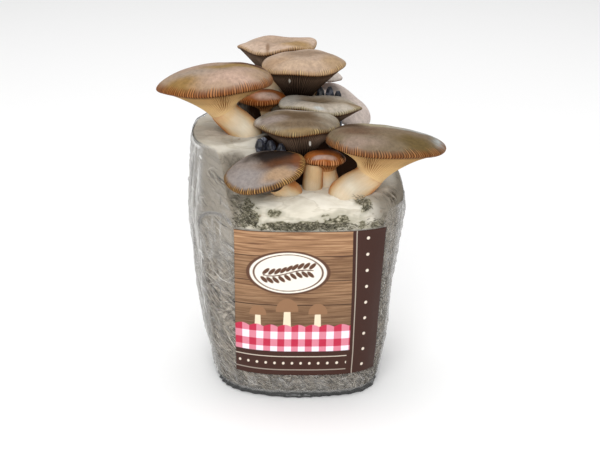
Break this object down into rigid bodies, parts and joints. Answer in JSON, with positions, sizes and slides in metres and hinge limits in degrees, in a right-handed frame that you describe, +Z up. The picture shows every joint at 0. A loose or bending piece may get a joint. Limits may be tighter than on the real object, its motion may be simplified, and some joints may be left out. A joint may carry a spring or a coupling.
{
  "type": "oyster mushroom grow kit",
  "caption": "Block of straw and mycelium in a clear film bag with a paper label, with clusters of king oyster mushrooms growing from its uneven top; stands on its flat base.",
  "frame": {"origin": "middle of the flat underside of the bag", "axes": "+X to the right of the label, -Y out of the label's side, +Z up"},
  "size_m": [0.265, 0.2306, 0.3046],
  "materials": {
    "substrate": "matt straw and mycelium",
    "film": "clear, wrinkled",
    "label_paper": "satin coated paper",
    "mushroom_cap": "suede-like skin",
    "mushroom_stem": "matt, firm flesh",
    "dried_pins": "matt, shrivelled"
  },
  "bodies": {
    "root": {"substrate_block": "substrate", "grow_bag": "film", "label": "label_paper", "cap_front_large": "mushroom_cap", "stem_front_large": "mushroom_stem", "cap_front_middle": "mushroom_cap", "stem_front_middle": "mushroom_stem", "cap_front_wavy": "mushroom_cap", "stem_front_wavy": "mushroom_stem", "cap_front_young": "mushroom_cap", "stem_front_young": "mushroom_stem", "cap_front_tilted": "mushroom_cap", "stem_front_tilted": "mushroom_stem", "cap_rear_large": "mushroom_cap", "stem_rear_large": "mushroom_stem", "cap_rear_middle": "mushroom_cap", "stem_rear_middle": "mushroom_stem", "cap_rear_wavy": "mushroom_cap", "stem_rear_wavy": "mushroom_stem", "cap_rear_young": "mushroom_cap", "stem_rear_young": "mushroom_stem", "cap_rear_tilted": "mushroom_cap", "stem_rear_tilted": "mushroom_stem", "cap_rear_small": "mushroom_cap", "stem_rear_small": "mushroom_stem", "pins_front": "dried_pins", "pins_rear": "dried_pins"}
  },
  "joints": []
}
